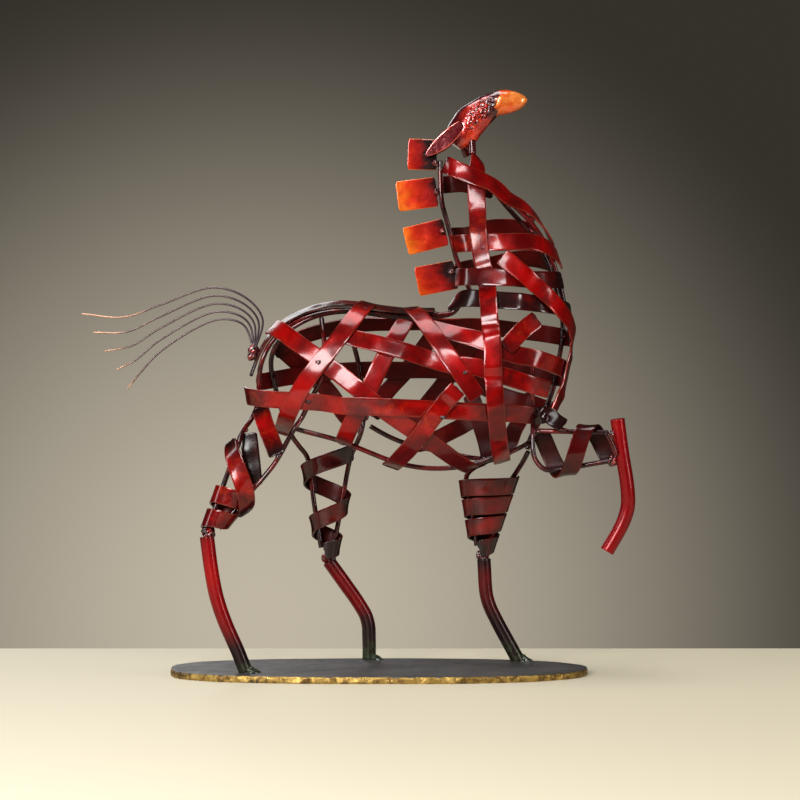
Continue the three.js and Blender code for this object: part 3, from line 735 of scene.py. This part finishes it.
def mane_lacquer():
    finish = Finish("torch coloured lacquer")
    streaks = finish.span(finish.cloud(0.006, 5, 0.6, 0.3, (0.6, 1, 1)), 0.25, 0.75, -0.13, 0.13)
    heat = finish.sum(finish.mark("torch"), streaks)
    colour = finish.blend(finish.span(heat, 0.0, 0.45), (0.52, 0.1, 0.005), (0.4, 0.016, 0.002))
    colour = finish.blend(finish.span(heat, 0.3, 0.75), colour, (0.2, 0.003, 0.002))
    colour = finish.blend(finish.span(heat, 0.7, 1.0), colour, (0.01, 0.002, 0.002))
    edge = finish.span(finish.mark("edge"), 0.93, 1.0, 0, 0.4)
    finish.link(finish.blend(edge, colour, (0.8, 0.2, 0.05)), "Base Color")
    finish.link(finish.span(finish.cloud(0.006, 4), 0.3, 0.7, 0.28, 0.45), "Roughness")
    finish.fix(Metallic=0.3, Specular_IOR_Level=0.06, Coat_Weight=0.4, Coat_Roughness=0.12)
    finish.bumps((finish.cloud(0.01, 2), 0.0003), (finish.cloud(0.002, 2, 0.6), 0.00003))
    return finish.material


torch_colours = mane_lacquer()
for number, (x, z, wide, high, tilt, free, weld) in enumerate(MANE, 1):
    turn = math.radians(tilt)
    middles = np.array([[x + (share - 0.5) * wide * math.cos(turn), MIDDLE_Y / MM,
                         z + (share - 0.5) * wide * math.sin(turn)]
                        for share in np.linspace(0, 1, 7)]) * MM
    line = bar_line(middles, np.array([[0.0, -1.0, 0.0]] * 7), np.full(7, high * MM))
    plate = ribbon(f"mane-plate-{number}-cut", line, number * 5, 18, 1.2 * MM, 0.35 * MM, 0.1 * MM,
                   0.7 * MM)
    dress(plate, f"mane-plate-{number}", torch_colours, torch_colours)
    apply_modifiers(plate)
    mark_strip(plate, line, [], 0.0)
    share = (points_of(plate) - middles[0]) @ line["heading"][0] / (wide * MM)
    rise = (points_of(plate)[:, 2] - z * MM) / (high * MM)
    add_mark(plate, "torch", (free + (weld - free) * share + 0.2 * rise).clip(0, 1.2))
    smooth_shade(plate)
print(len(MANE), "mane plates cut")

# %% [markdown]
# ## The tail
# Five thin wires leave one blob of weld, arch up side by side and fan out as they fall. Thin wire
# springs, so each keeps one even curve. The maker left them almost bare: dark near the weld where
# the lacquer ran, purple grey along the arch, pinkish beige at the tips.

# %% Draw the tail wires
TAIL_Y, WIRE_RADIUS = 3.6, 0.62


def wire_path(k):
    y = TAIL_Y + (k - 2) * 1.6
    places = np.array([
        [-73, TAIL_Y + (k - 2) * 0.6, 190], [-68 - 2.6 * k, y, 210 - 1.2 * k],
        [-78 - 1.5 * k, y, 222.5 - 3.4 * k], [-97, y * 1.1, 228.5 - 4.8 * k],
        [-129, y * 1.2, 218 - 6.8 * k], [-150 + 2 * k, y * 1.3, 211 - 8.5 * k],
        [-175 + 6.6 * k, y * 1.4, 213 - 11 * k]]) * MM
    return smooth_rows(places, 16, springy=True)


def tail_lacquer():
    finish = Finish("tail wire")
    along = finish.sum(finish.mark("along"), finish.span(finish.cloud(0.02), 0.3, 0.7, -0.1, 0.1))
    colour = finish.blend(finish.span(along, 0.3, 0.6), (0.03, 0.012, 0.02), (0.075, 0.04, 0.035))
    colour = finish.blend(finish.span(along, 0.72, 0.95), colour, (0.42, 0.22, 0.13))
    finish.link(colour, "Base Color")
    finish.link(finish.span(finish.cloud(0.01), 0.3, 0.7, 0.3, 0.45), "Roughness")
    finish.fix(Metallic=0.35, Coat_Weight=0.25, Coat_Roughness=0.15)
    return finish.material


wires = []
for k in range(5):
    path = wire_path(k)
    share = np.linspace(0, 1, len(path))
    wire = round_bar(f"tail-wire-{k + 1}", path, WIRE_RADIUS * MM * (1.0 - 0.25 * share ** 4), 3,
                     0.15 * MM)
    nearest = np.linalg.norm(points_of(wire)[:, None] - path[None], axis=2).argmin(1)
    add_mark(wire, "along", share[nearest])
    wires.append(wire)


def join(pieces, name):
    clear_selection()
    for piece in pieces:
        piece.select_set(True)
    bpy.context.view_layer.objects.active = pieces[0]
    bpy.ops.object.join()
    pieces[0].name = pieces[0].data.name = name
    return pieces[0]


tail = join(wires, "tail-wires")
dress(tail, "tail", tail_lacquer())
smooth_shade(tail, 50)
print("tail of", len(wires), "wires")

# %% [markdown]
# ## Weld
# Molten metal piles up in small uneven lumps. A lump is a ball that is pushed in and out by noise.
# It is made twice, coarse for the many small beads and fine for the few large knots. Copies are
# stretched along the rod that they hold, turned, and sunk between the rod and the strip, so that
# only a little bead shows at each edge of the bar.


# %% Shape one lump of weld
def ball(level):
    """Points and faces of a ball; the small beads get the coarse one, as there are many."""
    clear_selection()
    bpy.ops.mesh.primitive_ico_sphere_add(subdivisions=level, radius=1)
    piece = bpy.context.object
    made = points_of(piece), np.array([face.vertices[:] for face in piece.data.polygons])
    bpy.data.objects.remove(piece)
    return made


BEAD, KNOT = ball(2), ball(4)
dice = random.Random(7)


def lump(shape, at, size, along, seed):
    """Points of one lump: size is half its length along and half its thickness."""
    points = shape[0]
    rough = 1 + 0.22 * waver(points, 0.9, seed)[:, None] + 0.08 * waver(points, 0.3, seed)[:, None]
    turn = Vector(along).to_track_quat("Z", "Y").to_matrix()
    stretched = points * rough * np.array([size[1], size[1], size[0]])
    return stretched @ np.array(turn).T + np.array(at)


def lumps_piece(name, shape, lumps, material):
    mesh = bpy.data.meshes.new(name)
    points = np.vstack(lumps)
    faces = np.vstack([shape[1] + i * len(shape[0]) for i in range(len(lumps))])
    mesh.from_pydata(points.tolist(), [], faces.tolist())
    piece = bpy.data.objects.new(name, mesh)
    bpy.context.scene.collection.objects.link(piece)
    mesh.materials.append(material)
    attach(piece, "root")
    smooth_shade(piece, 60)
    return piece


def weld_finish():
    finish = Finish("weld under lacquer")
    patches = finish.span(finish.cloud(0.003, 4, 0.6, 0.7), 0.42, 0.7)
    finish.link(finish.blend(patches, (0.02, 0.003, 0.003), (0.24, 0.006, 0.005)), "Base Color")
    finish.link(finish.span(finish.cloud(0.0015, 4), 0.3, 0.7, 0.14, 0.42), "Roughness")
    finish.fix(Metallic=0.6, Coat_Weight=1.0, Coat_Roughness=0.06)
    finish.bumps((finish.cloud(0.0009, 3, 0.6), 0.0002))
    return finish.material


weld_metal = weld_finish()
beads = []
for name in strip_names:
    for at, rod_at, along, _ in welds[name]:
        middle = at * 0.35 + rod_at * 0.65
        beads.append(lump(BEAD, middle, (dice.uniform(2.2, 3.4) * MM, 1.5 * MM), along,
                          dice.uniform(0, 99)))
lumps_piece("weld-beads", BEAD, beads, weld_metal)
print(len(beads), "beads")

# %% [markdown]
# The maker also left bigger lumps in plain sight: drops on the face of some strips, the blobs that
# hold the mane plates and the tail, and the knots where the rods of a leg meet its lower part.

# %% Add the large lumps
def on_top(x, z):
    """The outermost strip point of the right side near x, z, in mm."""
    best, height = None, 0
    for line in lines.values():
        flat = np.hypot(line["place"][:, 0] - x * MM, line["place"][:, 2] - z * MM)
        i = flat.argmin()
        if flat[i] < 5 * MM and line["place"][i, 1] < height:
            best, height = line["place"][i] + line["facing"][i] * 0.8 * MM, line["place"][i, 1]
    return best


knots = []
for x, z in ((-7, 215), (-34, 184), (-40, 161), (38, 152), (51, 178), (62, 251)):
    at = on_top(x, z)
    if at is not None:
        knots.append(lump(KNOT, (x * MM, at[1], z * MM), (1.5 * MM, 1.1 * MM), (1, 0, 0.3), x))
for x, z in ((34.6, 302), (35, 285), (38.6, 262), (44, 238)):
    knots.append(lump(KNOT, (x * MM, MIDDLE_Y - 1.6 * MM, z * MM), (2.2 * MM, 1.9 * MM),
                      (0, 1, 0), z))
knots.append(lump(KNOT, (-74 * MM, TAIL_Y * MM, 190 * MM), (5.2 * MM, 3.2 * MM), (0.15, 0, 1), 3))
for x, y, z, high, wide in ((-97.5, -33, 85, 4.5, 3.8), (-30, 46, 66, 4, 4), (63.5, 36, 68, 4, 4),
                            (137.5, -26, 127, 4, 3), (137, -28, 142, 4, 3)):
    knots.append(lump(KNOT, (x * MM, y * MM, z * MM), (high * MM, wide * MM), (0.1, 0, 1), x))
lumps_piece("weld-knots", KNOT, knots, weld_metal)
print(len(knots), "large lumps")

# %% [markdown]
# ## The feet
# Each standing leg is held by a wedge of weld on its front side, poured from the leg down to the
# plate. It starts as a cone that is pulled out forwards and roughened. Its lacquer has gone a dark
# bottle green from the heat.


# %% Pour the foot welds
def foot_weld(name, x, y, seed):
    clear_selection()
    bpy.ops.mesh.primitive_cone_add(vertices=40, radius1=1, radius2=0.42, depth=1,
                                    location=(0, 0, 0.5))
    piece = bpy.context.object
    piece.name = piece.data.name = name
    bpy.ops.object.transform_apply(location=True)
    bpy.ops.object.mode_set(mode="EDIT")
    bpy.ops.mesh.select_all(action="SELECT")
    bpy.ops.mesh.subdivide(number_cuts=9)
    bpy.ops.object.mode_set(mode="OBJECT")
    points = points_of(piece)
    rise = points[:, 2].copy()
    rough = 1 + 0.22 * waver(points, 0.5, seed) + 0.1 * waver(points, 0.16, seed)
    points[:, 0] = points[:, 0] * rough * (6 - 2 * rise) + 2.8 - 3 * rise
    points[:, 1] = points[:, 1] * rough * (4.8 - 0.8 * rise)
    points[:, 2] = 4.0 + rise * (5.5 + 0.7 * waver(points, 3, seed))
    set_points(piece, points * MM + np.array([x * MM, y * MM, 0]))
    return piece


def foot_finish():
    finish = Finish("burnt green weld")
    patches = finish.span(finish.cloud(0.003, 4, 0.6, 0.6), 0.4, 0.68)
    finish.link(finish.blend(patches, (0.01, 0.013, 0.007), (0.04, 0.06, 0.025)), "Base Color")
    finish.link(finish.span(finish.cloud(0.0015, 4), 0.3, 0.7, 0.18, 0.5), "Roughness")
    finish.fix(Metallic=0.3, Coat_Weight=0.5, Coat_Roughness=0.2)
    finish.bumps((finish.cloud(0.002, 3, 0.6), 0.0003))
    return finish.material


foot_green = foot_finish()
for number, (x, y) in enumerate(((-76, -31), (-5.5, 47), (85, 36)), 1):
    wedge = foot_weld(f"foot-weld-{number}", x, y, number * 3)
    wedge.data.materials.append(foot_green)
    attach(wedge, "root")
    smooth_shade(wedge, 50)
print("three feet welded down")

# %% [markdown]
# ## The head
# The head is beaten from one piece: a tapering body that bends over to a flattened muzzle, with a
# keel along its brow and under its jaw. It is lofted from its own sections, drawn closer together
# than in the frame, and the cheek gets the pitted crust that the maker built up with weld.

# %% Loft the head
HEAD = np.array([  # x, z, half height, half width in mm, tail of the poll to the muzzle
    [45.5, 313, 6, 4.5], [49.5, 319, 9.4, 6], [55.4, 327.2, 9.8, 6.6], [63, 333.6, 8.5, 6],
    [69.6, 337.6, 7.3, 5.3], [73.4, 338.5, 7.7, 5.4], [78.4, 338.9, 7.0, 5], [83.6, 339.3, 5.2, 4],
    [86.8, 339.6, 3.3, 2.8], [88.6, 339.6, 1.2, 1.4],
]) * MM
ROUND = 150


def loft_head():
    line = smooth_rows(HEAD, 20)
    line[:, 2:] = line[:, 2:].clip(0.4 * MM)
    places = np.stack([line[:, 0], np.full(len(line), MIDDLE_Y), line[:, 1]], 1)
    heading = unit(np.gradient(places, axis=0))
    upward = np.stack([-heading[:, 2], 0 * heading[:, 0], heading[:, 0]], 1)
    clear_selection()
    bpy.ops.mesh.primitive_cylinder_add(vertices=ROUND, radius=1, depth=1, end_fill_type="NOTHING")
    piece = bpy.context.object
    piece.name = piece.data.name = "head-body"
    mesh = bmesh.new()
    rings, heights = [], []
    for i in range(len(line)):
        ring = []
        for k in range(ROUND):
            angle = 2 * math.pi * k / ROUND
            c, s = math.cos(angle), math.sin(angle)
            wide, high = np.sign(c) * abs(c) ** 1.15, np.sign(s) * abs(s) ** 0.9
            at = (places[i] + upward[i] * line[i, 2] * high * 0.98
                  + np.array([0, 1, 0]) * line[i, 3] * wide * 0.98)
            ring.append(mesh.verts.new(at))
            heights.append(high)
        rings.append(ring)
    for a, b in zip(rings, rings[1:]):
        for k in range(ROUND):
            n = (k + 1) % ROUND
            mesh.faces.new((a[k], b[k], b[n], a[n]))
    mesh.faces.new(rings[0])
    mesh.faces.new(rings[-1][::-1])
    bmesh.ops.recalc_face_normals(mesh, faces=mesh.faces)
    mesh.to_mesh(piece.data)
    mesh.free()
    add_mark(piece, "brow", heights)
    return piece, np.array(heights)


head_body, brow = loft_head()
points = points_of(head_body)
normals = np.array([v.normal for v in head_body.data.vertices])
along = (points[:, 0] - HEAD[0, 0]) / (HEAD[-1, 0] - HEAD[0, 0])
side = np.abs(points[:, 1] - MIDDLE_Y) / (5.5 * MM)
crust = (np.exp(-((along - 0.36) / 0.2) ** 4) * np.clip((brow + 0.6) * 4, 0, 1)
         * np.clip((0.8 - brow) * 5, 0, 1) * np.clip(side * 2 - 0.4, 0, 1))
pits = np.array([noise.voronoi(Vector(p) / (1.25 * MM))[0][0] for p in points])
points += normals * ((pits - 0.45) * 0.8 * MM * crust)[:, None]
points += normals * (0.15 * MM * waver(points, 0.004, 5))[:, None]
set_points(head_body, points)
add_mark(head_body, "crust", crust)
add_mark(head_body, "along", along)
print("head of", len(head_body.data.polygons), "faces")

# %% [markdown]
# The ears are two long leaves of sheet, laid back along the neck, with bright ground edges. A
# leaf is a ribbon again, only its width follows a leaf: narrow, wide, pointed. Two short stubs
# carry the head on the neck.


# %% Add ears and stubs
def ear_leaf(side):
    y = MIDDLE_Y / MM
    places = np.array([[50, y + side * 5.6, 325.5], [45, y + side * 6.0, 320.3],
                       [39.5, y + side * 5.8, 315.2], [33.8, y + side * 5.4, 310.6],
                       [28.4, y + side * 5.0, 306.3]]) * MM
    widths = np.array([4.6, 7.8, 8.4, 6.2, 1.4]) * MM
    facing = np.array([[0.0, side, 0.0]] * 5)
    line = bar_line(places, facing, widths, 6)
    leaf = ribbon(f"ear-{side}", line, 40 + side, 10, 1.1 * MM, 0.1 * MM, 0.1 * MM, 0.3 * MM)
    apply_modifiers(leaf)
    mark_strip(leaf, line, [], 0.0)
    return leaf


def head_lacquer():
    finish = Finish("head lacquer")
    drift = finish.span(finish.cloud(0.006, 4, 0.6, 0.4), 0.3, 0.7, -0.05, 0.05)
    along, brow = finish.sum(finish.mark("along"), drift), finish.mark("brow")
    red = finish.blend(finish.span(finish.cloud(0.007, 4, 0.6, 0.5), 0.38, 0.66),
                       (0.3, 0.006, 0.003), (0.62, 0.03, 0.004))
    poll = finish.span(finish.mark("along"), 0.02, 0.2)
    colour = finish.blend(poll, (0.05, 0.002, 0.003), red)
    pocks = finish.sum(finish.mark("crust"), finish.span(finish.cloud(0.0016, 3), 0.4, 0.6),
                       "MULTIPLY")
    colour = finish.blend(pocks, colour, (0.05, 0.003, 0.003))
    # The top of the head is painted dark purple as shade.
    colour = finish.blend(finish.span(brow, 0.72, 0.9), colour, (0.045, 0.003, 0.008))
    colour = finish.blend(finish.span(along, 0.42, 0.5), colour, (0.04, 0.002, 0.003))
    muzzle = finish.blend(finish.span(finish.cloud(0.012, 3, 0.5, 0.3), 0.35, 0.7),
                          (0.6, 0.06, 0.006), (0.74, 0.22, 0.04))
    colour = finish.blend(finish.span(along, 0.57, 0.63), colour, muzzle)
    edge = finish.span(finish.mark("edge"), 0.8, 0.95, 0, 0.85)
    leaf = finish.blend(finish.span(finish.mark("edge"), 0.0, 0.02), (0.0, 0.0, 0.0),
                        (0.09, 0.003, 0.005))
    colour = finish.blend(finish.span(finish.mark("edge"), 0.0, 0.01), colour, leaf)
    finish.link(finish.blend(edge, colour, (0.75, 0.12, 0.08)), "Base Color")
    finish.link(finish.span(finish.cloud(0.003, 4), 0.3, 0.7, 0.2, 0.36), "Roughness")
    finish.fix(Metallic=0.35, Specular_IOR_Level=0.2, Coat_Weight=1.0, Coat_Roughness=0.05)
    finish.bumps((finish.cloud(0.004, 3), 0.0003), (finish.cloud(0.002, 2), 0.00004),
                 (pocks, 0.0003))
    return finish.material


ears = [ear_leaf(side) for side in (-1, 1)]
y = MIDDLE_Y
stub_path = smooth_rows(np.array([[55 * MM, y, 322 * MM], [55.7 * MM, 3 * MM, 314 * MM],
                                  [56 * MM, 1.5 * MM, 307.6 * MM]]), 8)
stub = round_bar("stub", stub_path, np.full(len(stub_path), 2.4 * MM), 5, 0.6 * MM)
back_stub = round_bar("back-stub", np.array([[48.5, 5, 317], [53, 7.5, 306.6]]) * MM,
                      np.full(2, 2 * MM), 5, 0.5 * MM)
head = join([head_body, *ears, stub, back_stub], "head-forged")
dress(head, "head", head_lacquer())
smooth_shade(head, 40)
print("head joined of", len(head.data.polygons), "faces")

# %% [markdown]
# ## The base plate
# The plate was cut by hand with a torch, so its rim wanders and is beaded with slag that shines
# like brass, while the top is a dead flat satin charcoal. The outline is taken from the frame, a
# disc is drawn to it, and its edge is built up ring by ring: top, rounded shoulder, rim, underside.


# %% Cut the base plate
RIM_POINTS = 720


def plate_outline():
    """The rim of the plate as even points round it."""
    solid = bmesh.new()
    solid.from_mesh(nodes["base-plate"].data)
    bmesh.ops.remove_doubles(solid, verts=solid.verts, dist=1e-5)
    rim = sorted((v.co.copy() for v in solid.verts if v.co.z > 2 * MM),
                 key=lambda p: math.atan2(p.y * 2, p.x))
    solid.free()
    loop = np.array([[p.x, p.y] for p in rim])
    closed = np.vstack([loop[-1:], loop, loop[:2]])
    fine = smooth_rows(closed, RIM_POINTS // len(loop))
    first = RIM_POINTS // len(loop)
    return fine[first:first + RIM_POINTS]


outline = plate_outline()
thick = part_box("base-plate")[1].z
ring_profile = [  # how far in from the outline and how high in mm, and how rough
    (0.6, 0.0, 0.3), (0.15, 0.5, 0.8), (0.0, 1.6, 1.0), (0.1, 2.7, 1.0), (0.3, 3.4, 0.9),
    (0.9, 3.86, 0.6), (1.8, 3.97, 0.25), (3.2, 4.0, 0.0), (14, 4.0, 0.0), (30, 4.0, 0.0)]
mesh = bmesh.new()
rows = []
for inset, height, rough in ring_profile:
    centre_pull = 1 - inset * MM / np.linalg.norm(outline, axis=1, keepdims=True)
    ring = outline * centre_pull
    spots = np.column_stack([ring, np.full(len(ring), height * MM)])
    bite = (0.55 + 0.45 * waver(spots, 0.004, 2) + 0.35 * waver(spots, 0.0013, 4)).clip(0, 1.4) * MM
    ring = ring * (1 - rough * bite[:, None] / np.linalg.norm(ring, axis=1, keepdims=True))
    lift = rough * 0.16 * MM * waver(spots, 0.003, 6) if 0 < height < 3.9 else 0 * bite
    rows.append([mesh.verts.new((*p, min(max(height * MM + dz, 0), thick)))
                 for p, dz in zip(ring, lift)])
for a, b in zip(rows, rows[1:]):
    for k in range(RIM_POINTS):
        n = (k + 1) % RIM_POINTS
        mesh.faces.new((a[k], a[n], b[n], b[k]))
mesh.faces.new(rows[0][::-1])
mesh.faces.new(rows[-1])
bmesh.ops.recalc_face_normals(mesh, faces=mesh.faces)
clear_selection()
bpy.ops.mesh.primitive_circle_add(vertices=RIM_POINTS, radius=0.1, fill_type="NGON")
base = bpy.context.object
base.name = base.data.name = "base-cut"
mesh.to_mesh(base.data)
mesh.free()
print("rim of", RIM_POINTS, "points,", thick, "m thick")


# %% Finish the plate
def plate_top():
    finish = Finish("satin charcoal")
    cloud = finish.span(finish.cloud(0.03, 5, 0.6, 0.4), 0.35, 0.68)
    colour = finish.blend(cloud, (0.048, 0.044, 0.044), (0.08, 0.074, 0.073))
    finish.link(colour, "Base Color")
    finish.link(finish.span(finish.cloud(0.012, 5, 0.65), 0.3, 0.7, 0.36, 0.55), "Roughness")
    finish.fix(Metallic=0.25, Coat_Weight=0.15, Coat_Roughness=0.25)
    finish.bumps((finish.cloud(0.02, 4), 0.0006), (finish.cloud(0.0012, 3, 0.7), 0.00006))
    return finish.material


def plate_rim():
    finish = Finish("brassy slag")
    cloud = finish.span(finish.cloud(0.006, 5, 0.7, 0.8), 0.42, 0.62)
    colour = finish.blend(cloud, (0.33, 0.21, 0.05), (0.11, 0.055, 0.012))
    dark = finish.span(finish.cloud(0.012, 4, 0.7, 1.0), 0.6, 0.7)
    finish.link(finish.blend(dark, colour, (0.02, 0.015, 0.012)), "Base Color")
    finish.link(finish.span(finish.cloud(0.002, 4), 0.3, 0.7, 0.25, 0.55), "Roughness")
    finish.fix(Metallic=0.75)
    finish.bumps((finish.cloud(0.0016, 4, 0.7), 0.0003))
    return finish.material


dress(base, "base-plate", plate_top(), plate_rim())
STEEP, UNDERSIDE = 0.75, 0.2 * MM
for face in base.data.polygons:
    face.material_index = int(abs(face.normal.z) < STEEP and face.center.z > UNDERSIDE)
smooth_shade(base, 45)
print("base plate of", len(base.data.polygons), "faces")
